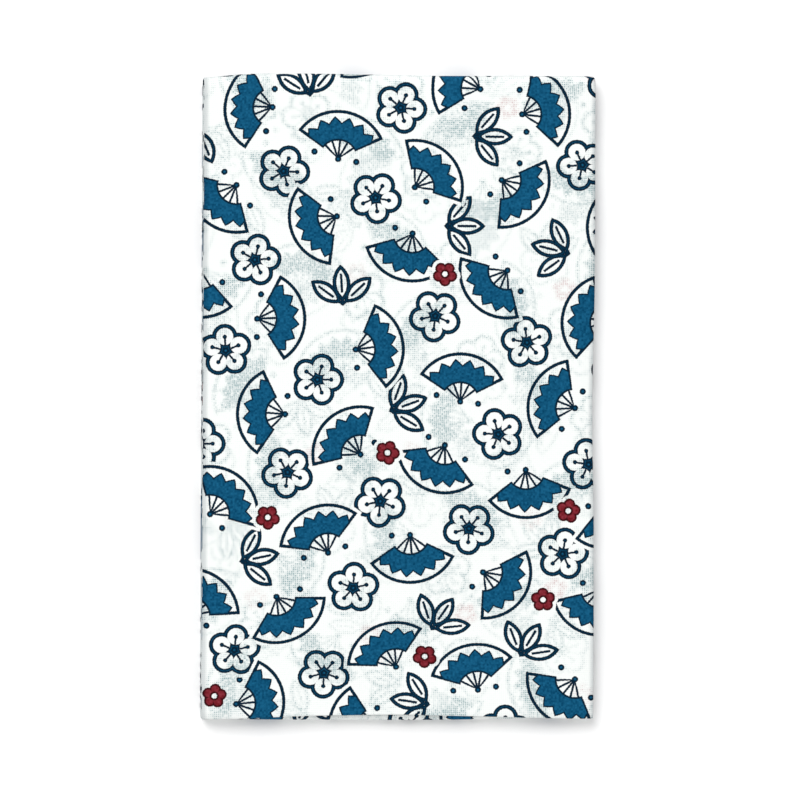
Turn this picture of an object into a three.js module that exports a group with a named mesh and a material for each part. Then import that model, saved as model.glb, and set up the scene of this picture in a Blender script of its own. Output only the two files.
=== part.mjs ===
// A tenugui hand towel: one length of printed cotton, folded flat.
// The cloth is first folded in thirds across its width, which makes a long leaf of three plies with a
// fold down both sides. The leaf is then turned over and over along its length into five runs. The
// front run is its outer end: it goes over the far end, and its cut end lies on the near one, a little
// behind the fold below it.
// Units are millimetres, +Z is up, +Y is the far end of the front face and the origin is the middle of
// the underside. The underside is flat and the other faces are a little uneven, as soft cloth lies.

import * as THREE from "three";
import { mergeVertices } from "three/addons/utils/BufferGeometryUtils.js";

const CLOTH_LENGTH = 900; // along the selvedges, laid out flat
const LEAF_WIDTH = 111.4; // a third of the cloth's width of about 333, with its fold
const LEAF_THICKNESS = 1.1; // three plies pressed together
const LEAF_GAP = 0.4; // between one run of the leaf and the next
const FOLDED_LENGTH = 184.6; // end to end, once folded
const LEAF_COLOR = "#f7f8f8";
const LEAF_ROUGHNESS = 0.95;

const NEAR = -1;
const FAR = 1;

// The turns, from the front run in to the cut end inside the stack.
// end: the end of the stack that it lies at
// from, to: the levels of the runs that it joins, counted up from the surface
// inset: how far it stops short of a place snug inside the turn that wraps it
// steps: facets round the turn
const TURNS = [
  { end: FAR, from: 4, to: 0, inset: 0, steps: 14 },
  { end: NEAR, from: 0, to: 3, inset: 0, steps: 14 },
  { end: FAR, from: 3, to: 1, inset: 0.6, steps: 10 },
  { end: NEAR, from: 1, to: 2, inset: 0.7, steps: 8 },
];

const TURN_POWER = 0.8; // of a turn's sine and cosine: 1 is a half circle, less is fuller at the corners

const RUN_STEPS = 17; // facets along a straight run
const TIP_STEPS = 4; // facets along the front's cut end, where it hangs over the round end below it
const ACROSS_STEPS = 10; // facets across the leaf
const EDGE_STEPS = 2; // facets in a quarter round of the leaf's side folds

// The lines of the two ends, in rows evenly spaced from the left side to the right.
// far: how far the far end lies in from a straight line
// near: how far the near end does
// step: how far the front's cut end lies behind the near end
const ENDS = [
  { far: 1.2, near: 0.15, step: 0.3 },
  { far: 0.1, near: 0.05, step: 0.85 },
  { far: 0, near: 0, step: 1.6 },
  { far: 0.1, near: 0, step: 1.9 },
  { far: 0.35, near: 0, step: 2.1 },
  { far: 0.5, near: 0.15, step: 1.7 },
  { far: 0.45, near: 0.4, step: 1.2 },
  { far: 0.4, near: 0.75, step: 0.5 },
  { far: 0.45, near: 0.8, step: 0.3 },
];
const END_REACH = 45; // how far into the stack an end's line is felt

// Broad, low waves that the upper runs lie in. across and along are wavelengths.
const WAVES = [
  { height: 0.16, across: 118, along: 205, shift: 0.7 },
  { height: 0.12, across: 61, along: 96, shift: 2.1 },
  { height: 0.07, across: 37, along: 58, shift: 4.4 },
];

const WAIST = { depth: 0.6, at: -2.6, halfWidth: 24 }; // the right side is drawn in at mid length
const LEAN = 1.2; // the stack leans this far to the right from its underside to its front
const SIDE_DROP = { left: 0.15, right: 0.5, width: 4.5 }; // the front falls away at its side folds
const SAG = 0.55; // the front's cut end follows this share of the fall of the round end below it

const half = LEAF_THICKNESS / 2;
const levelHeight = (level) => half + level * (LEAF_THICKNESS + LEAF_GAP);
const topLevel = TURNS[0].from;
const stackHeight = levelHeight(topLevel) + half;
const { clamp, lerp, smoothstep } = THREE.MathUtils;

// One column of the table of ends as a smooth line through its rows.
const smoothColumn = (column) =>
  new THREE.SplineCurve(ENDS.map((row, i) => new THREE.Vector2(i / (ENDS.length - 1), row[column])));
const ends = { far: smoothColumn("far"), near: smoothColumn("near"), step: smoothColumn("step") };
const endValue = (column, x) => ends[column].getPoint(clamp(x / LEAF_WIDTH + 0.5, 0, 1)).y;

// The line where the runs end and the turns begin. The outermost turn of each end sets it.
const turnRadius = ({ from, to }) => Math.abs(levelHeight(to) - levelHeight(from)) / 2;
const roundEnd = (end) => turnRadius(TURNS.find((turn) => turn.end === end)) + half;
const turnLine = (end) => end * (FOLDED_LENGTH / 2 - roundEnd(end));

// A stretch of the leaf's middle line. place(t) is its point (y, z) at t, from 0 to 1.
function runStretch(from, to, level, steps) {
  const place = (t) => new THREE.Vector2(lerp(from, to, t), levelHeight(level));
  return { place, steps };
}

function turnStretch(turn, at) {
  const radius = turnRadius(turn);
  const middle = (levelHeight(turn.from) + levelHeight(turn.to)) / 2;
  const rise = Math.sign(turn.to - turn.from);
  const fuller = (value) => Math.sign(value) * Math.abs(value) ** TURN_POWER;
  const place = (t) => {
    const angle = Math.PI * (t - 0.5);
    const reach = turn.end * radius * fuller(Math.cos(angle));
    return new THREE.Vector2(at + reach, middle + rise * radius * fuller(Math.sin(angle)));
  };
  return { place, steps: turn.steps };
}

// The leaf's middle line, from the front's cut end to the one inside the stack.
class FoldLine {
  constructor() {
    this.stretches = [];
    this.steps = 0;
    this.length = 0;
    let y = turnLine(NEAR);
    this.add(runStretch((NEAR * FOLDED_LENGTH) / 2, y, topLevel, TIP_STEPS));
    for (const turn of TURNS) {
      const at = turnLine(turn.end) - turn.end * turn.inset;
      this.add(runStretch(y, at, turn.from, RUN_STEPS));
      this.add(turnStretch(turn, at));
      y = at;
    }
    const last = TURNS.at(-1);
    this.add(runStretch(y, y - last.end * (CLOTH_LENGTH - this.length), last.to, RUN_STEPS));
  }

  add({ place, steps }) {
    this.stretches.push({ place, steps, first: this.steps });
    this.steps += steps;
    for (let i = 0; i < steps; i++) this.length += place(i / steps).distanceTo(place((i + 1) / steps));
  }

  // The place of the leaf's point that is offset from the middle line, towards the outside of the
  // stack, at a given step of the line. Every step is one facet, so they bunch at the turns.
  carry(x, offset, step) {
    const { place, first, steps } = this.stretches.findLast((stretch) => stretch.first <= step);
    const t = (step - first) / steps;
    const nearby = 1e-3;
    const middle = place(t);
    const along = place(Math.min(t + nearby, 1)).sub(place(Math.max(t - nearby, 0))).normalize();
    return new THREE.Vector3(x, middle.x - along.y * offset, middle.y + along.x * offset);
  }
}

// The leaf cut across: flat, with a full round at both side folds.
function leafSection() {
  const straight = LEAF_WIDTH - LEAF_THICKNESS;
  const section = new THREE.Shape();
  section.moveTo(-straight / 2, -half);
  for (let i = 1; i <= ACROSS_STEPS; i++) section.lineTo(straight * (i / ACROSS_STEPS - 0.5), -half);
  section.absarc(straight / 2, 0, half, -Math.PI / 2, Math.PI / 2, false);
  for (let i = 1; i <= ACROSS_STEPS; i++) section.lineTo(straight * (0.5 - i / ACROSS_STEPS), half);
  section.absarc(-straight / 2, 0, half, Math.PI / 2, (3 * Math.PI) / 2, false);
  return section;
}

// Moves a point of the neatly folded leaf to where the soft cloth lies.
function settle(point) {
  const { x, y, z } = point;
  const atFar = smoothstep(y, FOLDED_LENGTH / 2 - END_REACH, FOLDED_LENGTH / 2);
  const atNear = smoothstep(-y, FOLDED_LENGTH / 2 - END_REACH, FOLDED_LENGTH / 2);
  const waist = WAIST.depth * Math.exp(-(((y - WAIST.at) / WAIST.halfWidth) ** 2));
  const side = LEAF_WIDTH / 2 - SIDE_DROP.width;
  const drop =
    SIDE_DROP.right * smoothstep(x, side, LEAF_WIDTH / 2) + SIDE_DROP.left * smoothstep(-x, side, LEAF_WIDTH / 2);
  let wave = 0;
  for (const { height, across, along, shift } of WAVES)
    wave += height * Math.sin((2 * Math.PI * x) / across + shift) * Math.cos((2 * Math.PI * y) / along - shift);
  const raised = Math.max(z - LEAF_THICKNESS, 0) / (stackHeight - LEAF_THICKNESS);
  const front = smoothstep(z, stackHeight - LEAF_THICKNESS - LEAF_GAP, stackHeight - LEAF_THICKNESS);
  const step = front * atNear * endValue("step", x);
  const overhang = clamp(turnLine(NEAR) - y - step, 0, roundEnd(NEAR));
  const fall = roundEnd(NEAR) - Math.sqrt(roundEnd(NEAR) ** 2 - overhang ** 2);
  point.x += LEAN * (z / stackHeight - 0.5) - waist * smoothstep(x, 0, LEAF_WIDTH / 2);
  point.y += atNear * endValue("near", x) + step - atFar * endValue("far", x);
  point.z += raised * (wave - drop) - SAG * front * fall;
  return point;
}

function makeTowel() {
  const foldLine = new FoldLine();
  // The leaf is extruded flat, one unit of depth to each step of its fold line, and then folded. Its
  // own x runs to the left, so that the faces still point out once the depth runs back and forth.
  const flat = new THREE.ExtrudeGeometry(leafSection(), {
    steps: foldLine.steps,
    depth: foldLine.steps,
    bevelEnabled: false,
    curveSegments: EDGE_STEPS,
  });
  flat.deleteAttribute("normal");
  flat.deleteAttribute("uv");
  const cloth = mergeVertices(flat, 1e-4);
  const positions = cloth.getAttribute("position");
  for (let i = 0; i < positions.count; i++) {
    const folded = foldLine.carry(-positions.getX(i), positions.getY(i), positions.getZ(i));
    const { x, y, z } = settle(folded);
    positions.setXYZ(i, x, y, z);
  }
  cloth.computeVertexNormals();
  const material = new THREE.MeshStandardMaterial({ color: LEAF_COLOR, roughness: LEAF_ROUGHNESS, metalness: 0 });
  const towel = new THREE.Mesh(cloth, material);
  towel.name = "towel";
  return towel;
}

const part = new THREE.Group();
part.add(makeTowel());

export default part;
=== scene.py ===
"""A folded tenugui hand towel: one length of printed cotton on a plain white studio floor.

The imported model's frame is kept: metres, +Z up, +Y the far end of the front face, +X its right side,
and the origin in the middle of the underside. Lengths inside the classes are millimetres, as a maker
would give them, and each finished mesh is scaled to metres once.
"""

import logging
import math
from dataclasses import dataclass, field
from enum import Enum
from itertools import accumulate
from typing import Any, Callable, Sequence

import bmesh
import bpy
from mathutils import Matrix, Vector


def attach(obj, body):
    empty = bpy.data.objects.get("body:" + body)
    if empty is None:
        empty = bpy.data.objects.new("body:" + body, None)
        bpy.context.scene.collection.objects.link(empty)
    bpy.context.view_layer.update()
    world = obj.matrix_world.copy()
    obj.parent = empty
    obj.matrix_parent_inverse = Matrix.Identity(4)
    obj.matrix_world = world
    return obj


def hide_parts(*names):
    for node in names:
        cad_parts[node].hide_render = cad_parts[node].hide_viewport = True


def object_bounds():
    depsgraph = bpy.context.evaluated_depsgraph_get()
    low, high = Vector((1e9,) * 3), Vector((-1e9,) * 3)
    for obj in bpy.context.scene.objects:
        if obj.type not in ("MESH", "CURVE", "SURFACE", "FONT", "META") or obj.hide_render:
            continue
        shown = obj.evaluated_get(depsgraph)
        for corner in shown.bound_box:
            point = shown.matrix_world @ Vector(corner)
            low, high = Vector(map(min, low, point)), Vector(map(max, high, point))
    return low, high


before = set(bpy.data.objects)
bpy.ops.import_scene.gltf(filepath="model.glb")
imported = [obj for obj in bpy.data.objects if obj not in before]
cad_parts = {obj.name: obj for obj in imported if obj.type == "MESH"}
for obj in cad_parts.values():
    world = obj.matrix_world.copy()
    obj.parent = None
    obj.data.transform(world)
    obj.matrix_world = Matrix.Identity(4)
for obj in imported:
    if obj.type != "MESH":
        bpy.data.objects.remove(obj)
CAD_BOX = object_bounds()

MM = 0.001
log = logging.getLogger("towel")

Step = tuple[str | float, ...]
Socket = bpy.types.NodeSocket
Tree = bpy.types.NodeTree


# Helpers


def linear(colour: str) -> tuple[float, float, float, float]:
    """Turns an sRGB hex colour such as "#125579" into linear RGBA."""
    parts = [int(colour[i : i + 2], 16) / 255 for i in (1, 3, 5)]
    red, green, blue = (p / 12.92 if p <= 0.04045 else ((p + 0.055) / 1.055) ** 2.4 for p in parts)
    return red, green, blue, 1.0


def smoothstep(value: float, low: float, high: float) -> float:
    """Eases from 0 at low to 1 at high, level at both."""
    t = min(max((value - low) / (high - low), 0.0), 1.0)
    return t * t * (3 - 2 * t)


def lerp(a: float, b: float, t: float) -> float:
    """Gives the value a share t of the way from a to b."""
    return a + (b - a) * t


def through(points: Sequence[Vector], t: float) -> Vector:
    """Follows a smooth line through evenly weighted points.

    Args:
        points: the points, in order.
        t: how far along the line, from 0 to 1.

    Returns:
        The point there.
    """
    last = len(points) - 1
    place = min(max(t, 0.0), 1.0) * last
    i = min(int(place), last - 1)
    w = place - i
    before, a, b, after = (points[min(max(i + k, 0), last)] for k in (-1, 0, 1, 2))
    bend_a, bend_b = (b - before) / 2, (after - a) / 2
    return (
        a * (2 * w**3 - 3 * w**2 + 1)
        + b * (3 * w**2 - 2 * w**3)
        + bend_a * (w**3 - 2 * w**2 + w)
        + bend_b * (w**3 - w**2)
    )


def bunched(t: float, share: float = 0.6) -> float:
    """Draws evenly spaced values from 0 to 1 together towards both ends."""
    return lerp(t, (1 - math.cos(math.pi * t)) / 2, share)


def add_node(
    tree: Tree,
    kind: str,
    settings: dict[str, Any] | None = None,
    inputs: dict[str | int, Any] | None = None,
) -> bpy.types.Node:
    """Adds a node with its settings and links.

    Args:
        tree: the node tree that it goes into.
        kind: the node's type name.
        settings: its properties by name.
        inputs: its sockets by name or number, each with a value or with the socket that feeds it.

    Returns:
        The new node.
    """
    node = tree.nodes.new(kind)
    for name, value in (settings or {}).items():
        setattr(node, name, value)
    for key, value in (inputs or {}).items():
        if isinstance(value, Socket):
            tree.links.new(value, node.inputs[key])
        else:
            node.inputs[key].default_value = value
    return node


def work_out(tree: Tree, steps: Sequence[Step], known: dict[str, Socket | float]) -> dict[str, Any]:
    """Builds a sum from a table of named steps, one math node each.

    Args:
        tree: the node tree.
        steps: rows of a name, an operation and its operands, each a number or an earlier name.
        known: the sockets and numbers that the first steps start from, by name.

    Returns:
        Every value by its name.
    """
    values = dict(known)
    for name, operation, *operands in steps:
        feeds = {i: values.get(o, o) for i, o in enumerate(operands)}
        values[name] = add_node(tree, "ShaderNodeMath", {"operation": operation}, feeds).outputs[0]
    return values


# The folded cloth


class End(Enum):
    """The two ends of the stack, by their direction along Y."""

    NEAR = -1
    FAR = 1


@dataclass(frozen=True)
class Stretch:
    """A stretch of the leaf's middle line, with its point (y, z) at t, from 0 to 1."""

    place: Callable[[float], Vector]
    rows: int
    drawn_in: bool

    def shares(self) -> list[float]:
        """Places the grid's rows: bunched towards the ends of a run, and evenly round a turn."""
        even = [i / self.rows for i in range(self.rows + 1)]
        return [bunched(t) for t in even] if self.drawn_in else even

    def lengths(self) -> list[float]:
        """Measures how far along the stretch each row lies."""
        points = [self.place(t) for t in self.shares()]
        return list(accumulate([(b - a).length for a, b in zip(points, points[1:])], initial=0.0))


@dataclass(frozen=True)
class Crossing:
    """One row of the cloth's grid: how far along the cloth it lies, and where that is folded to."""

    along: float
    stretch: Stretch
    t: float


@dataclass(frozen=True)
class Strand:
    """One column of the cloth's grid: how far across the cloth it lies, and where in the leaf."""

    across: float
    x: float
    offset: float


@dataclass(frozen=True)
class FoldLine:
    """The leaf's middle line, from the front's cut end to the one inside the stack.

    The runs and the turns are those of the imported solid.
    """

    cloth_length: float = 900.0
    folded_length: float = 184.6
    # The thickness of the leaf, three plies pressed together, and the gap from one run to the next.
    leaf: float = 1.1
    gap: float = 0.4
    # end, level that it leaves, level that it joins, inset, rows
    turns: tuple[tuple[End, int, int, float, int], ...] = (
        (End.FAR, 4, 0, 0.0, 20),
        (End.NEAR, 0, 3, 0.0, 20),
        (End.FAR, 3, 1, 0.6, 14),
        (End.NEAR, 1, 2, 0.7, 12),
    )
    # Of a turn's sine and cosine: 1 is a half circle, and less is fuller at the corners.
    turn_power: float = 0.8
    # The grid's rows along the front's cut end, a hidden run and the front.
    tip_rows: int = 8
    run_rows: int = 22
    front_rows: int = 110

    @property
    def top_level(self) -> int:
        """The front run's level, counted up from the surface."""
        return self.turns[0][1]

    @property
    def height(self) -> float:
        """The stack's height before it settles."""
        return self.level_height(self.top_level) + self.leaf / 2

    def level_height(self, level: int) -> float:
        """The height of a run's middle line."""
        return self.leaf / 2 + level * (self.leaf + self.gap)

    def round_end(self, end: End) -> float:
        """The radius of the outermost turn at an end, at the leaf's middle."""
        low, high = next((joins, leaves) for at, joins, leaves, _, _ in self.turns if at is end)
        return abs(self.level_height(high) - self.level_height(low)) / 2

    def turn_line(self, end: End) -> float:
        """The y at which the runs end and the turns of one end begin."""
        return end.value * (self.folded_length / 2 - self.leaf / 2 - self.round_end(end))

    def run(self, start: float, stop: float, level: int, rows: int) -> Stretch:
        """Makes a straight run of the leaf.

        Args:
            start: the y that it starts from.
            stop: the y that it ends at.
            level: its level, counted up from the surface.
            rows: the grid's rows along it.

        Returns:
            The stretch.
        """
        height = self.level_height(level)
        return Stretch(lambda t: Vector((lerp(start, stop, t), height)), rows, True)

    def turn(self, row: tuple[End, int, int, float, int]) -> Stretch:
        """Makes a rounded turn from one level to another.

        Args:
            row: a row of the table of turns.

        Returns:
            The stretch.
        """
        end, leaves, joins, inset, rows = row
        low, high = self.level_height(leaves), self.level_height(joins)
        at = self.turn_line(end) - end.value * inset
        reach = end.value * abs(high - low) / 2

        def fuller(value: float) -> float:
            """Draws a sine or cosine out towards 1, with its sign."""
            return math.copysign(abs(value) ** self.turn_power, value)

        def place(t: float) -> Vector:
            """The point at t round the turn."""
            angle = math.pi * (t - 0.5)
            height = lerp(low, high, fuller(math.sin(angle)) / 2 + 0.5)
            return Vector((at + reach * fuller(math.cos(angle)), height))

        return Stretch(place, rows, False)

    def stretches(self) -> list[Stretch]:
        """Joins the whole line up, with a last run that uses up the rest of the cloth."""
        y = self.turn_line(End.NEAR)
        line = [self.run(-self.folded_length / 2, y, self.top_level, self.tip_rows)]
        for row in self.turns:
            end, leaves, _, inset, _ = row
            at = self.turn_line(end) - end.value * inset
            rows = self.front_rows if leaves == self.top_level else self.run_rows
            line += [self.run(y, at, leaves, rows), self.turn(row)]
            y = at
        end, _, level, _, _ = self.turns[-1]
        rest = self.cloth_length - sum(stretch.lengths()[-1] for stretch in line)
        return [*line, self.run(y, y - end.value * rest, level, self.run_rows)]

    def crossings(self) -> list[Crossing]:
        """Places the grid's rows along the whole line."""
        rows: list[Crossing] = []
        done = 0.0
        for stretch in self.stretches():
            places = zip(stretch.lengths(), stretch.shares())
            found = [Crossing(done + at, stretch, t) for at, t in places]
            rows += found[1:] if rows else found
            done = rows[-1].along
        return rows

    @property
    def front_fold(self) -> float:
        """How far along the cloth the middle of the front's far fold lies."""
        tip, front, turn = self.stretches()[:3]
        return tip.lengths()[-1] + front.lengths()[-1] + turn.lengths()[-1] / 2


@dataclass(frozen=True)
class Leaf:
    """The cloth folded in thirds across: a middle ply, the front ply round it and the back ply."""

    cloth_width: float = 333.0
    width: float = 111.4
    # One ply's thickness, the pitch from ply to ply, and the x of the selvedge of the middle ply.
    ply: float = 0.3
    pitch: float = 0.38
    middle_selvedge: float = 55.0
    # The grid's columns across a hidden ply, the front ply and a fold.
    ply_columns: int = 24
    front_columns: int = 56
    fold_columns: int = 8

    @property
    def left(self) -> float:
        """The x at which the left fold begins, between the middle ply and the front ply."""
        return -self.width / 2 + self.ply / 2 + self.pitch / 2

    @property
    def right(self) -> float:
        """The x at which the right fold begins, from the front ply round to the back ply."""
        return self.width / 2 - self.ply / 2 - self.pitch

    @property
    def front_start(self) -> float:
        """How far across the cloth the front ply begins."""
        return self.middle_selvedge - self.left + math.pi * self.pitch / 2

    @property
    def left_fold(self) -> float:
        """How far across the cloth the middle of the left fold lies."""
        return self.front_start - math.pi * self.pitch / 4

    @property
    def right_fold(self) -> float:
        """How far across the cloth the middle of the right fold lies."""
        return self.front_start + self.right - self.left + math.pi * self.pitch / 2

    @property
    def mirror_middle(self) -> float:
        """The sum of two places across the cloth that lie over each other, front and middle ply."""
        return self.middle_selvedge - self.left + self.front_start

    @property
    def mirror_back(self) -> float:
        """The sum of two places across the cloth that lie over each other, front and back ply."""
        return self.front_start + 2 * (self.right - self.left) + math.pi * self.pitch

    def strands(self) -> list[Strand]:
        """Places the grid's columns, bunched towards the folds and evenly round them."""
        columns = [Strand(0.0, self.middle_selvedge, 0.0)]

        def lay_ply(stop: float, count: int) -> None:
            """Adds a flat ply that runs on to the x named stop."""
            first = columns[-1]
            for i in range(1, count + 1):
                x = lerp(first.x, stop, bunched(i / count))
                columns.append(Strand(first.across + abs(x - first.x), x, first.offset))

        def lay_fold(radius: float, side: int) -> None:
            """Adds a half round, out to the left (side -1) and up, or to the right (1) and down."""
            first = columns[-1]
            for i in range(1, self.fold_columns + 1):
                angle = math.pi * i / self.fold_columns
                x = first.x + side * radius * math.sin(angle)
                offset = first.offset - side * radius * (1 - math.cos(angle))
                columns.append(Strand(first.across + radius * angle, x, offset))

        lay_ply(self.left, self.ply_columns)
        lay_fold(self.pitch / 2, -1)
        lay_ply(self.right, self.front_columns)
        lay_fold(self.pitch, 1)
        lay_ply(self.right - (self.cloth_width - columns[-1].across), self.ply_columns)
        return columns


@dataclass(frozen=True)
class Lie:
    """How the soft cloth settles: uneven ends, a drawn-in side, low waves and a few soft creases."""

    # Rows evenly spaced from the left side to the right: how far the far end lies in from a straight
    # line, how far the near end does, and how far the front's cut end lies behind the near end.
    ends: tuple[tuple[float, float, float], ...] = (
        (1.2, 0.15, 0.3),
        (0.1, 0.05, 0.85),
        (0.0, 0.0, 1.6),
        (0.1, 0.0, 1.9),
        (0.35, 0.0, 2.1),
        (0.5, 0.15, 1.7),
        (0.45, 0.4, 1.2),
        (0.4, 0.75, 0.5),
        (0.45, 0.8, 0.3),
    )
    # How far into the stack an end's line is felt.
    end_reach: float = 45.0
    # height, wavelength across, wavelength along, shift
    waves: tuple[tuple[float, float, float, float], ...] = (
        (0.16, 118.0, 205.0, 0.7),
        (0.12, 61.0, 96.0, 2.1),
        (0.07, 37.0, 58.0, 4.4),
    )
    # x, y, turn in degrees, half length, half width, height
    creases: tuple[tuple[float, float, float, float, float, float], ...] = (
        (49.0, -46.0, -38.0, 12.0, 2.2, 0.10),
        (44.0, -60.0, -22.0, 16.0, 2.6, -0.09),
        (-48.0, 31.0, 62.0, 13.0, 2.4, 0.08),
        (18.0, 84.0, 84.0, 9.0, 2.8, -0.10),
        (-30.0, -83.0, 72.0, 10.0, 2.4, 0.09),
        (36.0, 20.0, 12.0, 22.0, 3.4, -0.06),
        (-14.0, 4.0, 87.0, 30.0, 4.5, -0.07),
        (8.0, -8.0, 93.0, 34.0, 4.5, 0.06),
    )
    # The right side is drawn in at mid length.
    waist_depth: float = 0.6
    waist_at: float = -2.6
    waist_half_width: float = 24.0
    # The stack leans this far to the right from its underside to its front.
    lean: float = 1.2
    # The front falls away towards its side folds, and in a round at their very edge.
    drop_left: float = 0.15
    drop_right: float = 0.5
    drop_width: float = 4.5
    side_round: float = 1.5
    side_round_drop: float = 0.28
    # The front's cut end follows this share of the fall of the round end below it.
    sag: float = 0.55

    def end_value(self, column: int, x: float, width: float) -> float:
        """Reads one column of the table of ends at an x, on a leaf of the given width."""
        points = [Vector((row[column], 0.0)) for row in self.ends]
        return through(points, x / width + 0.5)[0]

    def crease_height(self, x: float, y: float) -> float:
        """Adds up the soft creases at a place on the front.

        Args:
            x: the place across, in mm.
            y: the place along, in mm.

        Returns:
            The height in mm, below zero in a hollow.
        """
        total = 0.0
        for at_x, at_y, turn, half_length, half_width, height in self.creases:
            away = Matrix.Rotation(-math.radians(turn), 2) @ Vector((x - at_x, y - at_y))
            total += height * math.exp(-((away.x / half_length) ** 2) - (away.y / half_width) ** 2)
        return total

    def settle(self, point: Vector, line: FoldLine, width: float) -> Vector:
        """Moves a point of the neatly folded leaf to where the soft cloth lies.

        Args:
            point: its place in the neat stack.
            line: the fold line, for the stack's length and height.
            width: the leaf's width.

        Returns:
            The place in the settled stack.
        """
        x, y, z = point
        end = line.folded_length / 2
        at_far = smoothstep(y, end - self.end_reach, end)
        at_near = smoothstep(-y, end - self.end_reach, end)
        waist = self.waist_depth * math.exp(-(((y - self.waist_at) / self.waist_half_width) ** 2))
        side = width / 2 - self.drop_width
        drop = self.drop_right * smoothstep(x, side, width / 2)
        drop += self.drop_left * smoothstep(-x, side, width / 2)
        into_round = min(max((abs(x) - width / 2) / self.side_round + 1, 0.0), 1.0)
        drop += self.side_round_drop * (1 - math.sqrt(1 - into_round**2))
        wave = sum(
            height * math.sin(math.tau * x / across + shift) * math.cos(math.tau * y / along - shift)
            for height, across, along, shift in self.waves
        )
        raised = max(z - line.leaf, 0.0) / (line.height - line.leaf)
        front = smoothstep(z, line.height - line.leaf - line.gap, line.height - line.leaf)
        step = front * at_near * self.end_value(2, x, width)
        round_end = line.round_end(End.NEAR) + line.leaf / 2
        overhang = min(max(line.turn_line(End.NEAR) - y - step, 0.0), round_end)
        fall = round_end - math.sqrt(round_end**2 - overhang**2)
        return Vector((
            x + self.lean * (z / line.height - 0.5) - waist * smoothstep(x, 0, width / 2),
            y + at_near * self.end_value(1, x, width) + step - at_far * self.end_value(0, x, width),
            z + raised * (wave - drop) + raised**2 * self.crease_height(x, y) - self.sag * front * fall,
        ))


# The print


@dataclass(frozen=True)
class Scatter:
    """One family of motifs, tossed over the cloth on a square net.

    shift is the family's place in the net's cell, jitter how far one may lie from there, in mm, and
    seed its own chance numbers.
    """

    shift: tuple[float, float]
    jitter: float
    seed: float


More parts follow.
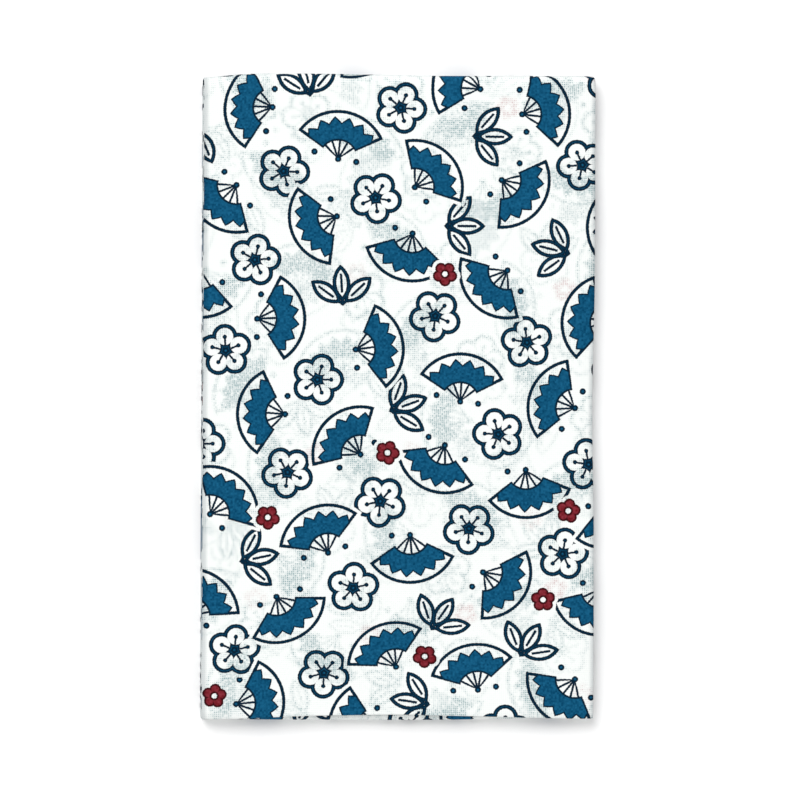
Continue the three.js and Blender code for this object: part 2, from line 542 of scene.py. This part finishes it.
@dataclass(frozen=True)
class TossedPrint:
    """A traditional small-pattern print: fans, plum blossoms, bamboo sprigs and dots at all angles.

    The shapes are worked out as distances in mm from the dyed edge, below zero inside, so that each
    use can be as crisp as it needs.
    """

    pitch: float = 27.0
    turn: float = 17.0
    fans: Scatter = Scatter((0.0, 0.0), 1.3, 3.7)
    line_work: Scatter = Scatter((0.5, 0.5), 1.0, 11.3)
    small_blossoms: Scatter = Scatter((0.5, 0.0), 1.6, 23.9)

    # A folding fan in solid colour: a leaf with a pale zigzag trim, ribs and a pivot.
    fan_steps: tuple[Step, ...] = (
        ("up", "ADD", "y", 7.0),
        ("xx", "MULTIPLY", "x", "x"),
        ("rr", "MULTIPLY_ADD", "up", "up", "xx"),
        ("r", "SQRT", "rr"),
        ("a", "ARCTAN2", "x", "up"),
        ("spread", "ABSOLUTE", "a"),
        ("past side", "SUBTRACT", "spread", 1.05),
        ("side", "MULTIPLY", "past side", "r"),
        ("from middle", "SUBTRACT", "r", 9.6),
        ("ring", "ABSOLUTE", "from middle"),
        ("rim", "SUBTRACT", "ring", 4.4),
        ("leaf", "MAXIMUM", "rim", "side"),
        ("fold", "PINGPONG", "a", 0.175),
        ("tooth", "MULTIPLY_ADD", "fold", 10.3, 10.4),
        ("below tooth", "SUBTRACT", "tooth", "r"),
        ("inset leaf", "ADD", "leaf", 0.95),
        ("pale trim", "MAXIMUM", "inset leaf", "below tooth"),
        ("not pale", "MULTIPLY", "pale trim", -1.0),
        ("solid", "MAXIMUM", "leaf", "not pale"),
        ("rib angle", "PINGPONG", "a", 0.21),
        ("rib", "MULTIPLY_ADD", "rib angle", "r", -0.32),
        ("rib end", "SUBTRACT", "r", 5.6),
        ("past ribs", "SUBTRACT", "spread", 0.94),
        ("rib side", "MULTIPLY", "past ribs", "r"),
        ("short rib", "MAXIMUM", "rib", "rib end"),
        ("ribs", "MAXIMUM", "short rib", "rib side"),
        ("pivot", "SUBTRACT", "r", 0.9),
        ("handle", "MINIMUM", "ribs", "pivot"),
        ("shape", "MINIMUM", "solid", "handle"),
    )
    # A place in the nearest of five petals: px across the petal and py along it.
    petal_place: tuple[Step, ...] = (
        ("xx", "MULTIPLY", "x", "x"),
        ("rr", "MULTIPLY_ADD", "y", "y", "xx"),
        ("r", "SQRT", "rr"),
        ("a", "ARCTAN2", "x", "y"),
        ("b", "PINGPONG", "a", math.pi / 5),
        ("sine", "SINE", "b"),
        ("cosine", "COSINE", "b"),
        ("px", "MULTIPLY", "sine", "r"),
        ("py", "MULTIPLY", "cosine", "r"),
        ("pxx", "MULTIPLY", "px", "px"),
    )
    # A plum blossom in line work: five round petals, stamens and a middle dot.
    blossom_steps: tuple[Step, ...] = (
        *petal_place,
        ("from petal", "SUBTRACT", "py", 4.0),
        ("petal rr", "MULTIPLY_ADD", "from petal", "from petal", "pxx"),
        ("petal r", "SQRT", "petal rr"),
        ("petal", "SUBTRACT", "petal r", 3.0),
        ("petal edge", "ABSOLUTE", "petal"),
        ("outline", "SUBTRACT", "petal edge", 0.6),
        ("stamen width", "SUBTRACT", "px", 0.3),
        ("stamen end", "SUBTRACT", "py", 3.6),
        ("stamen start", "SUBTRACT", 1.5, "py"),
        ("stamen reach", "MAXIMUM", "stamen end", "stamen start"),
        ("stamen", "MAXIMUM", "stamen width", "stamen reach"),
        ("from tip", "SUBTRACT", "py", 3.9),
        ("tip rr", "MULTIPLY_ADD", "from tip", "from tip", "pxx"),
        ("tip r", "SQRT", "tip rr"),
        ("tip", "SUBTRACT", "tip r", 0.62),
        ("middle", "SUBTRACT", "r", 0.85),
        ("inner", "MINIMUM", "stamen", "tip"),
        ("inside", "MINIMUM", "inner", "middle"),
        ("shape", "MINIMUM", "outline", "inside"),
    )
    # A sprig of bamboo in line work: three pointed leaves from one stalk, each with its midrib.
    sprig_steps: tuple[Step, ...] = (
        ("up", "ADD", "y", 4.6),
        ("xx", "MULTIPLY", "x", "x"),
        ("rr", "MULTIPLY_ADD", "up", "up", "xx"),
        ("r", "SQRT", "rr"),
        ("a", "ARCTAN2", "x", "up"),
        ("spread", "ABSOLUTE", "a"),
        ("is side leaf", "GREATER_THAN", "spread", 0.44),
        ("leaf angle", "MULTIPLY", "is side leaf", 0.88),
        ("b", "SUBTRACT", "spread", "leaf angle"),
        ("sine", "SINE", "b"),
        ("cosine", "COSINE", "b"),
        ("px", "MULTIPLY", "sine", "r"),
        ("py", "MULTIPLY", "cosine", "r"),
        ("wide", "ABSOLUTE", "px"),
        ("from middle", "SUBTRACT", "py", 5.9),
        ("along", "MULTIPLY", "from middle", "from middle"),
        ("bulge", "ADD", "wide", 4.2),
        ("leaf rr", "MULTIPLY_ADD", "bulge", "bulge", "along"),
        ("leaf r", "SQRT", "leaf rr"),
        ("leaf", "SUBTRACT", "leaf r", 6.2),
        ("leaf edge", "ABSOLUTE", "leaf"),
        ("outline", "SUBTRACT", "leaf edge", 0.55),
        ("vein width", "SUBTRACT", "wide", 0.36),
        ("far along", "ABSOLUTE", "from middle"),
        ("vein end", "SUBTRACT", "far along", 2.7),
        ("vein", "MAXIMUM", "vein width", "vein end"),
        ("stalk width", "SUBTRACT", "wide", 0.5),
        ("stalk end", "SUBTRACT", "py", 2.0),
        ("stalk", "MAXIMUM", "stalk width", "stalk end"),
        ("drawn", "MINIMUM", "outline", "vein"),
        ("shape", "MINIMUM", "drawn", "stalk"),
    )
    # A small blossom in solid colour with a pale middle.
    small_blossom_steps: tuple[Step, ...] = (
        *petal_place,
        ("from petal", "SUBTRACT", "py", 1.9),
        ("petal rr", "MULTIPLY_ADD", "from petal", "from petal", "pxx"),
        ("petal r", "SQRT", "petal rr"),
        ("petal", "SUBTRACT", "petal r", 1.65),
        ("hole", "SUBTRACT", 0.75, "r"),
        ("blossom", "MAXIMUM", "petal", "hole"),
        # One place in four has a blossom: the rest are pushed out of reach.
        ("none", "GREATER_THAN", "chance", 0.27),
        ("shape", "MULTIPLY_ADD", "none", 50.0, "blossom"),
    )
    # Dots beside the fan's pivot: one always, and a second, higher up, at half the places.
    dot_steps: tuple[Step, ...] = (
        ("x one", "SUBTRACT", "x", 5.2),
        ("y one", "ADD", "y", 7.3),
        ("xx one", "MULTIPLY", "x one", "x one"),
        ("rr one", "MULTIPLY_ADD", "y one", "y one", "xx one"),
        ("r one", "SQRT", "rr one"),
        ("x two", "ADD", "x", 6.9),
        ("y two", "ADD", "y", 5.6),
        ("xx two", "MULTIPLY", "x two", "x two"),
        ("rr two", "MULTIPLY_ADD", "y two", "y two", "xx two"),
        ("r two", "SQRT", "rr two"),
        ("none", "GREATER_THAN", "chance", 0.5),
        ("two", "MULTIPLY_ADD", "none", 50.0, "r two"),
        ("nearest", "MINIMUM", "r one", "two"),
        ("shape", "SUBTRACT", "nearest", 0.9),
    )
    # The families laid over each other: what lies behind keeps a little clear of what lies in front.
    join_steps: tuple[Step, ...] = (
        ("is sprig", "LESS_THAN", "line chance", 0.5),
        ("sprig less blossom", "SUBTRACT", "sprig", "blossom"),
        ("line", "MULTIPLY_ADD", "sprig less blossom", "is sprig", "blossom"),
        ("near fan", "SUBTRACT", 0.9, "fan"),
        ("line behind", "MAXIMUM", "line", "near fan"),
        ("fan and line", "MINIMUM", "fan", "line behind"),
        ("near line", "SUBTRACT", 0.9, "line behind"),
        ("dot behind", "MAXIMUM", "dot", "near line"),
        ("all behind", "MINIMUM", "fan and line", "dot behind"),
        ("near small", "SUBTRACT", 0.9, "small blossom"),
        ("blue", "MAXIMUM", "all behind", "near small"),
    )

    def toss(self, tree: Tree, net: Socket, family: Scatter) -> dict[str, Socket]:
        """Finds the nearest place of a family and turns its coordinates at random.

        Args:
            tree: the print's node tree.
            net: the place on the cloth, in cells of the net.
            family: the family of motifs.

        Returns:
            The sockets x and y, in mm from the motif's middle, and chance, from 0 to 1.
        """

        def vector_step(operation: str, *feeds: Any) -> Socket:
            """Adds one step of vector arithmetic and returns its vector."""
            inputs = dict(enumerate(feeds))
            return add_node(tree, "ShaderNodeVectorMath", {"operation": operation}, inputs).outputs[0]

        shifted = vector_step("ADD", net, (*family.shift, 0.0))
        cell = vector_step("FLOOR", shifted)
        inside = vector_step("FRACTION", shifted)
        seeded = vector_step("ADD", cell, (0.0, 0.0, family.seed))
        noise = add_node(tree, "ShaderNodeTexWhiteNoise", {"noise_dimensions": "3D"}, {"Vector": seeded})
        centred = vector_step("MULTIPLY_ADD", inside, (self.pitch,) * 3, (-self.pitch / 2,) * 3)
        spread = (2 * family.jitter, 2 * family.jitter, 0.0)
        nudge = vector_step("MULTIPLY", noise.outputs["Color"], spread)
        nudged = vector_step("SUBTRACT", centred, nudge)
        middle = vector_step("ADD", nudged, (family.jitter, family.jitter, 0.0))
        chances = add_node(tree, "ShaderNodeSeparateXYZ", {}, {0: noise.outputs["Color"]})
        angle_steps = (("angle", "MULTIPLY", "z", math.tau),)
        angle = work_out(tree, angle_steps, {"z": chances.outputs[2]})["angle"]
        turned = add_node(
            tree,
            "ShaderNodeVectorRotate",
            {"rotation_type": "Z_AXIS"},
            {"Vector": middle, "Angle": angle},
        )
        parts = add_node(tree, "ShaderNodeSeparateXYZ", {}, {0: turned.outputs[0]})
        return {"x": parts.outputs[0], "y": parts.outputs[1], "chance": noise.outputs["Value"]}

    def make(self) -> Tree:
        """Makes the node group, from a place on the flat cloth in mm to the two distances."""
        tree = bpy.data.node_groups.new("tossed print", "ShaderNodeTree")
        tree.interface.new_socket("Place", in_out="INPUT", socket_type="NodeSocketVector")
        for name in ("Blue", "Red"):
            tree.interface.new_socket(name, in_out="OUTPUT", socket_type="NodeSocketFloat")
        entry = add_node(tree, "NodeGroupInput")
        turned = add_node(
            tree,
            "ShaderNodeVectorRotate",
            {"rotation_type": "Z_AXIS"},
            {"Vector": entry.outputs[0], "Angle": math.radians(self.turn)},
        )
        net = add_node(
            tree,
            "ShaderNodeVectorMath",
            {"operation": "MULTIPLY"},
            {0: turned.outputs[0], 1: (1 / self.pitch, 1 / self.pitch, 0.0)},
        ).outputs[0]
        fan_place = self.toss(tree, net, self.fans)
        line_place = self.toss(tree, net, self.line_work)
        small_place = self.toss(tree, net, self.small_blossoms)
        shapes = {
            "fan": work_out(tree, self.fan_steps, fan_place)["shape"],
            "blossom": work_out(tree, self.blossom_steps, line_place)["shape"],
            "sprig": work_out(tree, self.sprig_steps, line_place)["shape"],
            "line chance": line_place["chance"],
            "dot": work_out(tree, self.dot_steps, fan_place)["shape"],
            "small blossom": work_out(tree, self.small_blossom_steps, small_place)["shape"],
        }
        joined = work_out(tree, self.join_steps, shapes)
        add_node(tree, "NodeGroupOutput", {}, {"Blue": joined["blue"], "Red": shapes["small blossom"]})
        return tree


# Finishes


@dataclass(frozen=True)
class PrintedCotton:
    """Bleached plain-woven cotton sheeting, dyed through a stencil.

    The bleached yarn is a soft bright white without gloss, with a little painted shade in the holes
    between the yarns. The dye soaks the yarn right through, so it is as matt as the cloth, a little
    darker where it pooled along the stencil's edge and broken up by the weave. The cloth is thin: what
    is printed on the plies underneath shows through as a pale cool shade, strongest in the holes between
    the yarns. Along its folds a thin grey line of painted shade stands for the shade where the cloth
    turns away from the light.
    """

    bleached: str = "#F2F3F1"
    # Painted shade in the holes between the yarns, and the tone of uneven yarns.
    hole_shade_and_yarn_tone: str = "#E1E7E5"
    blue: str = "#033E5E"
    blue_pale: str = "#165B7F"
    blue_pooled: str = "#051F31"
    red: str = "#68141B"
    red_pale: str = "#84303A"
    red_pooled: str = "#3A0A0F"
    show_through: str = "#87A2A5"
    show_through_red: str = "#C9B2B2"
    # The grey of the painted shade along the folds.
    painted_fold_shade: str = "#DADCDE"
    roughness: float = 0.92
    specular: float = 0.04
    # Real yarns lie about 0.42 mm apart. Drawn at 0.57 mm, two pixels of the photograph, so that the
    # weave shows there.
    yarn_pitch: float = 0.57
    # The sizes in mm of what makes the yarns wander, differ in colour and pucker.
    wander_size: float = 1.6
    blotch_size: float = 0.8
    pucker_size: float = 7.0
    noise_roughness: float = 0.55
    # How much of the print shows through from each ply underneath, and how far past its edge, in mm.
    middle_shows: float = 1.0
    back_shows: float = 0.48
    show_reach: tuple[float, float] = (-1.3, 0.7)
    # Of the dye, in mm: half the width of its edge, and how far in from there it pooled.
    edge_reach: float = 0.08
    pooled_width: float = 0.75
    # How far from a fold its line of painted grey shade is full and gone, in mm.
    painted_fold_shade_reach: tuple[float, float] = (0.4, 1.8)
    # The strength of the yarns' relief, and its height in mm.
    relief: float = 0.35
    relief_height: float = 0.06
    print_design: TossedPrint = TossedPrint()

    # From the flat cloth's place in mm, u and v, to the weave: over is 1 on top of a yarn and 0 in
    # the holes between the yarns.
    weave_steps: tuple[Step, ...] = (
        ("u pulled", "MULTIPLY_ADD", "wander", 0.5, "u"),
        ("v pulled", "MULTIPLY_ADD", "wander", 0.4, "v"),
        ("u turn", "MULTIPLY", "u pulled", "yarn turn"),
        ("v turn", "MULTIPLY", "v pulled", "yarn turn"),
        ("warp", "SINE", "u turn"),
        ("weft", "SINE", "v turn"),
        ("warp top", "ABSOLUTE", "warp"),
        ("weft top", "ABSOLUTE", "weft"),
        ("over", "MAXIMUM", "warp top", "weft top"),
        ("hole", "SUBTRACT", 1.0, "over"),
        ("cross", "MULTIPLY", "warp", "weft"),
        ("height", "MULTIPLY_ADD", "cross", 0.35, "over"),
        ("u cell", "DIVIDE", "u pulled", "yarn pitch"),
        ("v cell", "DIVIDE", "v pulled", "yarn pitch"),
        ("u hole", "ROUND", "u cell"),
        ("v hole", "ROUND", "v cell"),
    )
    # The distance from the nearest fold that shows on the front, which places the painted shade along
    # the folds. The far fold is a broad round, so its distance counts less.
    painted_fold_shade_steps: tuple[Step, ...] = (
        ("past left", "SUBTRACT", "u", "left fold"),
        ("left", "ABSOLUTE", "past left"),
        ("past right", "SUBTRACT", "u", "right fold"),
        ("right", "ABSOLUTE", "past right"),
        ("side", "MINIMUM", "left", "right"),
        ("past far", "SUBTRACT", "v", "far fold"),
        ("far", "ABSOLUTE", "past far"),
        ("far round", "MULTIPLY", "far", 0.7),
        ("nearest", "MINIMUM", "side", "far round"),
    )
    # The undyed cloth: painted shade in the holes between the yarns, and a random tone on uneven yarns.
    ground_steps: tuple[Step, ...] = (
        ("uneven", "MULTIPLY", "blotch", 0.5),
        ("shade", "MULTIPLY_ADD", "hole", 0.9, "uneven"),
    )
    # What shows through: near is how near the print underneath is, and the deepest holes show most.
    show_steps: tuple[Step, ...] = (
        ("deep hole", "MULTIPLY", "hole", "open"),
        ("speck", "MULTIPLY_ADD", "deep hole", 3.0, "blotch"),
        ("faint speck", "MULTIPLY_ADD", "speck", 0.85, -0.22),
        ("factor", "MULTIPLY", "faint speck", "near"),
    )
    # A dye: its edge follows the yarns, and it dried paler on some than on others.
    dye_steps: tuple[Step, ...] = (
        ("ragged", "MULTIPLY_ADD", "height", 0.12, "distance"),
        ("edge", "SUBTRACT", "ragged", 0.1),
        ("yarn by yarn", "MULTIPLY_ADD", "open", 0.75, -0.475),
        ("dry", "MULTIPLY_ADD", "blotch", 1.2, "yarn by yarn"),
    )
    # The yarns' rounding and the cloth's slight puckers as one height.
    relief_steps: tuple[Step, ...] = (("relief", "MULTIPLY_ADD", "pucker", 6.0, "height"),)

    def make(self, leaf: Leaf, line: FoldLine) -> bpy.types.Material:
        """Makes the material.

        Args:
            leaf: the folded leaf, which says what lies under what.
            line: the fold line, which says where the front's far fold lies.

        Returns:
            The material, which reads the UV map "flat cloth" in metres.
        """
        material = bpy.data.materials.new("printed_cotton")
        material.use_nodes = True
        tree = material.node_tree
        tree.nodes.clear()
        flat = add_node(tree, "ShaderNodeUVMap", {"uv_map": "flat cloth"})
        place = add_node(
            tree, "ShaderNodeVectorMath", {"operation": "SCALE"}, {0: flat.outputs[0], "Scale": 1 / MM}
        ).outputs[0]
        weave = self.weave(tree, place)
        front = self.distances(tree, place)
        middle = self.distances(tree, self.mirrored(tree, place, leaf.mirror_middle))
        back = self.distances(tree, self.mirrored(tree, place, leaf.mirror_back))
        colour = self.ground(tree, weave)
        colour = self.shaded_through(tree, colour, middle, weave, self.middle_shows)
        colour = self.shaded_through(tree, colour, back, weave, self.back_shows)
        blue = (self.blue, self.blue_pale, self.blue_pooled)
        red = (self.red, self.red_pale, self.red_pooled)
        colour = self.dyed(tree, colour, front["Blue"], blue, weave)
        colour = self.dyed(tree, colour, front["Red"], red, weave)
        folds = {
            "left fold": leaf.left_fold,
            "right fold": leaf.right_fold,
            "far fold": line.front_fold,
        }
        nearest = work_out(tree, self.painted_fold_shade_steps, {**weave, **folds})["nearest"]
        # Painted shade: a thin grey line along the side folds and the front's far fold, strongest at the
        # fold.
        painted_fold_shade_mask = self.ramp(tree, nearest, *self.painted_fold_shade_reach)
        colour = self.mix(tree, "MULTIPLY", painted_fold_shade_mask, colour, linear(self.painted_fold_shade))
        bump = add_node(
            tree,
            "ShaderNodeBump",
            {},
            {
                "Strength": self.relief,
                "Distance": self.relief_height * MM,
                "Height": self.surface(tree, place, weave),
            },
        )
        shader = add_node(
            tree,
            "ShaderNodeBsdfPrincipled",
            {},
            {
                "Base Color": colour,
                "Roughness": self.roughness,
                "Specular IOR Level": self.specular,
                "Normal": bump.outputs[0],
            },
        )
        add_node(tree, "ShaderNodeOutputMaterial", {}, {"Surface": shader.outputs[0]})
        return material

    def noise(self, tree: Tree, place: Socket, size: float, detail: float) -> Socket:
        """Adds smooth noise with blotches of about the given size in mm."""
        return add_node(
            tree,
            "ShaderNodeTexNoise",
            {"noise_dimensions": "3D"},
            {"Vector": place, "Scale": 1 / size, "Detail": detail, "Roughness": self.noise_roughness},
        ).outputs["Fac"]

    def weave(self, tree: Tree, place: Socket) -> dict[str, Any]:
        """Works out the plain weave, with yarns that wander and holes that differ.

        Args:
            tree: the material's node tree.
            place: the place on the flat cloth, in mm.

        Returns:
            The values of the table of the weave, with open, a chance number for each hole, and
            blotch, a soft unevenness.
        """
        parts = add_node(tree, "ShaderNodeSeparateXYZ", {}, {0: place})
        known = {
            "u": parts.outputs[0],
            "v": parts.outputs[1],
            "wander": self.noise(tree, place, self.wander_size, 2.0),
            "yarn turn": math.pi / self.yarn_pitch,
            "yarn pitch": self.yarn_pitch,
        }
        values = work_out(tree, self.weave_steps, known)
        feeds = {0: values["u hole"], 1: values["v hole"]}
        hole = add_node(tree, "ShaderNodeCombineXYZ", {}, feeds).outputs[0]
        chance = add_node(tree, "ShaderNodeTexWhiteNoise", {"noise_dimensions": "3D"}, {0: hole})
        values["open"] = chance.outputs[0]
        values["blotch"] = self.noise(tree, place, self.blotch_size, 1.0)
        return values

    def mirrored(self, tree: Tree, place: Socket, total: float) -> Socket:
        """Gives the place on a ply underneath, whose u and this one's make the total."""
        return add_node(
            tree,
            "ShaderNodeVectorMath",
            {"operation": "MULTIPLY_ADD"},
            {0: place, 1: (-1.0, 1.0, 1.0), 2: (total, 0.0, 0.0)},
        ).outputs[0]

    def distances(self, tree: Tree, place: Socket) -> dict[str, Socket]:
        """Reads the print.

        Args:
            tree: the material's node tree.
            place: the place on the flat cloth, in mm.

        Returns:
            The distances in mm from the edges of the blue and of the red, by those names.
        """
        tree_of_print = bpy.data.node_groups.get("tossed print") or self.print_design.make()
        node = add_node(tree, "ShaderNodeGroup", {"node_tree": tree_of_print}, {"Place": place})
        return {"Blue": node.outputs["Blue"], "Red": node.outputs["Red"]}

    def ramp(self, tree: Tree, value: Socket, full: float, none: float, most: float = 1.0) -> Socket:
        """Eases from most at full down to 0 at none."""
        return add_node(
            tree,
            "ShaderNodeMapRange",
            {"interpolation_type": "SMOOTHSTEP"},
            {0: value, 1: full, 2: none, 3: most, 4: 0.0},
        ).outputs[0]

    def mix(self, tree: Tree, blend: str, factor: Socket, under: Any, over: Any) -> Socket:
        """Blends one colour over another, by Blender's name for the blend."""
        settings = {"data_type": "RGBA", "blend_type": blend}
        return add_node(tree, "ShaderNodeMix", settings, {0: factor, 6: under, 7: over}).outputs[2]

    def ground(self, tree: Tree, weave: dict[str, Any]) -> Socket:
        """Colours the undyed cloth, from the weave's values."""
        shade = work_out(tree, self.ground_steps, weave)["shade"]
        return self.mix(tree, "MIX", shade, linear(self.bleached), linear(self.hole_shade_and_yarn_tone))

    def shaded_through(
        self,
        tree: Tree,
        colour: Socket,
        ply: dict[str, Socket],
        weave: dict[str, Any],
        most: float,
    ) -> Socket:
        """Lets the print of a ply underneath show through, softened, and strongest in the holes.

        Args:
            tree: the material's node tree.
            colour: the cloth's colour so far.
            ply: the distances from the print's edges on that ply, in mm.
            weave: the weave's values.
            most: how much of the shade shows at most.

        Returns:
            The shaded colour.
        """
        for name, shade in (("Blue", self.show_through), ("Red", self.show_through_red)):
            near = self.ramp(tree, ply[name], *self.show_reach, most)
            factor = work_out(tree, self.show_steps, {**weave, "near": near})["factor"]
            colour = self.mix(tree, "MIX", factor, colour, linear(shade))
        return colour

    def dyed(
        self,
        tree: Tree,
        colour: Socket,
        distance: Socket,
        dye: tuple[str, str, str],
        weave: dict[str, Any],
    ) -> Socket:
        """Lays one dye over the cloth, with an edge that follows the yarns.

        Args:
            tree: the material's node tree.
            colour: the cloth's colour so far.
            distance: the distance from the dyed edge, in mm.
            dye: its body colour, its paler colour on dry yarns and its pooled colour at the edge.
            weave: the weave's values.

        Returns:
            The colour with the dye over it.
        """
        body, pale, pooled = (linear(shade) for shade in dye)
        values = work_out(tree, self.dye_steps, {**weave, "distance": distance})
        pool = self.ramp(tree, values["edge"], -self.pooled_width / 2, -self.pooled_width)
        mixed = self.mix(tree, "MIX", values["dry"], body, pale)
        mixed = self.mix(tree, "MIX", pool, mixed, pooled)
        covered = self.ramp(tree, values["edge"], -self.edge_reach, self.edge_reach)
        return self.mix(tree, "MIX", covered, colour, mixed)

    def surface(self, tree: Tree, place: Socket, weave: dict[str, Any]) -> Socket:
        """Adds the yarns' rounding and the cloth's slight puckers into one height."""
        pucker = self.noise(tree, place, self.pucker_size, 3.0)
        return work_out(tree, self.relief_steps, {**weave, "pucker": pucker})["relief"]


@dataclass(frozen=True)
class PaintedFloor:
    """A studio board in matt white paint, which gives it next to no gloss."""

    white: str = "#F8F8F8"
    roughness: float = 0.9
    specular: float = 0.1

    def make(self) -> bpy.types.Material:
        """Makes the material."""
        material = bpy.data.materials.new("studio_white")
        material.use_nodes = True
        tree = material.node_tree
        tree.nodes.clear()
        shader = add_node(
            tree,
            "ShaderNodeBsdfPrincipled",
            {},
            {
                "Base Color": linear(self.white),
                "Roughness": self.roughness,
                "Specular IOR Level": self.specular,
            },
        )
        add_node(tree, "ShaderNodeOutputMaterial", {}, {"Surface": shader.outputs[0]})
        return material


# Sub-assemblies


@dataclass
class Towel:
    """The towel: one flat length of cloth, folded into thirds across and five along."""

    line: FoldLine = field(default_factory=FoldLine)
    leaf: Leaf = field(default_factory=Leaf)
    lie: Lie = field(default_factory=Lie)
    finish: PrintedCotton = field(default_factory=PrintedCotton)

    def flat_cloth(self, strands: Sequence[Strand], rows: Sequence[Crossing]) -> bmesh.types.BMesh:
        """Makes the flat cloth as a grid whose lines are drawn together where it will be folded.

        Args:
            strands: the grid's columns.
            rows: the grid's rows.

        Returns:
            The grid, in metres on the flat cloth, with its UV map and each point's column and row.
        """
        cloth = bmesh.new()
        columns, crossings = len(strands) - 1, len(rows) - 1
        uv = cloth.loops.layers.uv.new("flat cloth")
        column_of = cloth.verts.layers.int.new("column")
        row_of = cloth.verts.layers.int.new("row")
        bmesh.ops.create_grid(cloth, x_segments=columns, y_segments=crossings, size=0.5)
        for point in cloth.verts:
            point[column_of] = round((point.co.x + 0.5) * columns)
            point[row_of] = round((point.co.y + 0.5) * crossings)
            point.co = Vector((strands[point[column_of]].across, rows[point[row_of]].along, 0.0)) * MM
        for face in cloth.faces:
            for loop in face.loops:
                loop[uv].uv = loop.vert.co.xy
        return cloth

    def folded(self, strand: Strand, row: Crossing) -> Vector:
        """Folds one point of the cloth into the stack.

        Args:
            strand: its column.
            row: its row.

        Returns:
            Its settled place in mm.
        """
        nearby = 1e-3
        ahead, behind = (row.stretch.place(min(max(row.t + d, 0.0), 1.0)) for d in (nearby, -nearby))
        along = (ahead - behind).normalized()
        y, z = row.stretch.place(row.t) + Vector((-along.y, along.x)) * strand.offset
        return self.lie.settle(Vector((strand.x, y, z)), self.line, self.leaf.width)

    def build(self) -> bpy.types.Object:
        """Builds the folded sheet and gives it its thickness."""
        strands, rows = self.leaf.strands(), self.line.crossings()
        cloth = self.flat_cloth(strands, rows)
        column_of = cloth.verts.layers.int["column"]
        row_of = cloth.verts.layers.int["row"]
        for point in cloth.verts:
            point.co = self.folded(strands[point[column_of]], rows[point[row_of]]) * MM
        bmesh.ops.reverse_faces(cloth, faces=cloth.faces)
        for face in cloth.faces:
            face.smooth = True
        mesh = bpy.data.meshes.new("towel_cloth")
        cloth.to_mesh(mesh)
        cloth.free()
        sheet = bpy.data.objects.new("towel_cloth", mesh)
        bpy.context.scene.collection.objects.link(sheet)
        thickness = sheet.modifiers.new("ply", "SOLIDIFY")
        thickness.thickness = self.leaf.ply * MM
        thickness.offset = 0.0
        return sheet

    def dress(self, sheet: bpy.types.Object) -> None:
        """Gives the sheet its cotton, hides the imported towel part and attaches the sheet to the root
        body.
        """
        sheet.data.materials.append(self.finish.make(self.leaf, self.line))
        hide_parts("towel")
        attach(sheet, "root")


@dataclass(frozen=True)
class Softbox:
    """A round soft light that points at the towel: its place and size in metres, its power in watts."""

    name: str
    place: tuple[float, float, float]
    size: float
    power: float

    def hang(self) -> bpy.types.Object:
        """Adds the light to the scene."""
        lamp = bpy.data.lights.new(self.name, "AREA")
        lamp.shape = "DISK"
        lamp.size = self.size
        lamp.energy = self.power
        box = bpy.data.objects.new(self.name, lamp)
        box.location = self.place
        box.rotation_mode = "QUATERNION"
        box.rotation_quaternion = (-Vector(self.place)).to_track_quat("-Z", "Y")
        bpy.context.scene.collection.objects.link(box)
        return box


@dataclass
class Studio:
    """The floor, the lights and the camera over the towel."""

    floor_size: float = 24.0
    # One pixel of the photograph on the front face, in metres, and the towel's place in its frame.
    pixel: float = 0.000284
    pixels: int = 800
    towel_middle: tuple[float, float] = (397.0, 397.2)
    # The camera's turn in degrees, and its lens and sensor in millimetres.
    turn: float = 0.23
    lens: float = 100.0
    sensor: float = 36.0
    key: Softbox = Softbox("key", (-0.85, 2.0, 3.25), 2.2, 91.0)
    reflector: Softbox = Softbox("reflector", (0.2, -2.2, 1.6), 2.0, 7.0)
    world_strength: float = 0.68

    def lay_floor(self) -> bpy.types.Object:
        """Lays a plain white board under the towel."""
        board = bmesh.new()
        bmesh.ops.create_grid(board, x_segments=1, y_segments=1, size=self.floor_size / 2)
        mesh = bpy.data.meshes.new("studio_floor")
        board.to_mesh(mesh)
        board.free()
        floor = bpy.data.objects.new("studio_floor", mesh)
        floor.data.materials.append(PaintedFloor().make())
        bpy.context.scene.collection.objects.link(floor)
        return floor

    def light(self) -> None:
        """Hangs a broad light past the far end and a weak one before the near end, in a white room."""
        self.key.hang()
        self.reflector.hang()
        world = bpy.data.worlds.new("studio")
        world.use_nodes = True
        tree = world.node_tree
        tree.nodes.clear()
        white = {"Color": linear("#FFFFFF"), "Strength": self.world_strength}
        background = add_node(tree, "ShaderNodeBackground", {}, white)
        add_node(tree, "ShaderNodeOutputWorld", {}, {"Surface": background.outputs[0]})
        bpy.context.scene.world = world
        bpy.context.scene.view_settings.view_transform = "Standard"

    def place_camera(self, front_height: float) -> bpy.types.Object:
        """Sets the camera straight over the towel, at the photograph's scale and place.

        Args:
            front_height: the height of the front face, where the scale holds.

        Returns:
            The camera.
        """
        data = bpy.data.cameras.new("camera")
        data.lens = self.lens
        data.sensor_width = self.sensor
        camera = bpy.data.objects.new("camera", data)
        middle = self.pixels / 2
        right = (middle - self.towel_middle[0]) * self.pixel
        down = (middle - self.towel_middle[1]) * self.pixel
        distance = self.pixels * self.pixel * self.lens / self.sensor
        camera.location = (right, -down, front_height + distance)
        camera.rotation_euler = (0.0, 0.0, math.radians(self.turn))
        bpy.context.scene.collection.objects.link(camera)
        bpy.context.scene.camera = camera
        return camera


def main() -> None:
    """Builds the studio and the towel, and logs how many points the sheet has."""
    logging.basicConfig(level=logging.INFO, format="%(name)s: %(message)s")
    studio = Studio()
    studio.place_camera(CAD_BOX[1].z)
    log.info("camera set")
    studio.lay_floor()
    studio.light()
    log.info("floor and light set")
    towel = Towel()
    sheet = towel.build()
    towel.dress(sheet)
    log.info("%s folded from %d points", sheet.name, len(sheet.data.vertices))


if __name__ == "__main__":
    main()
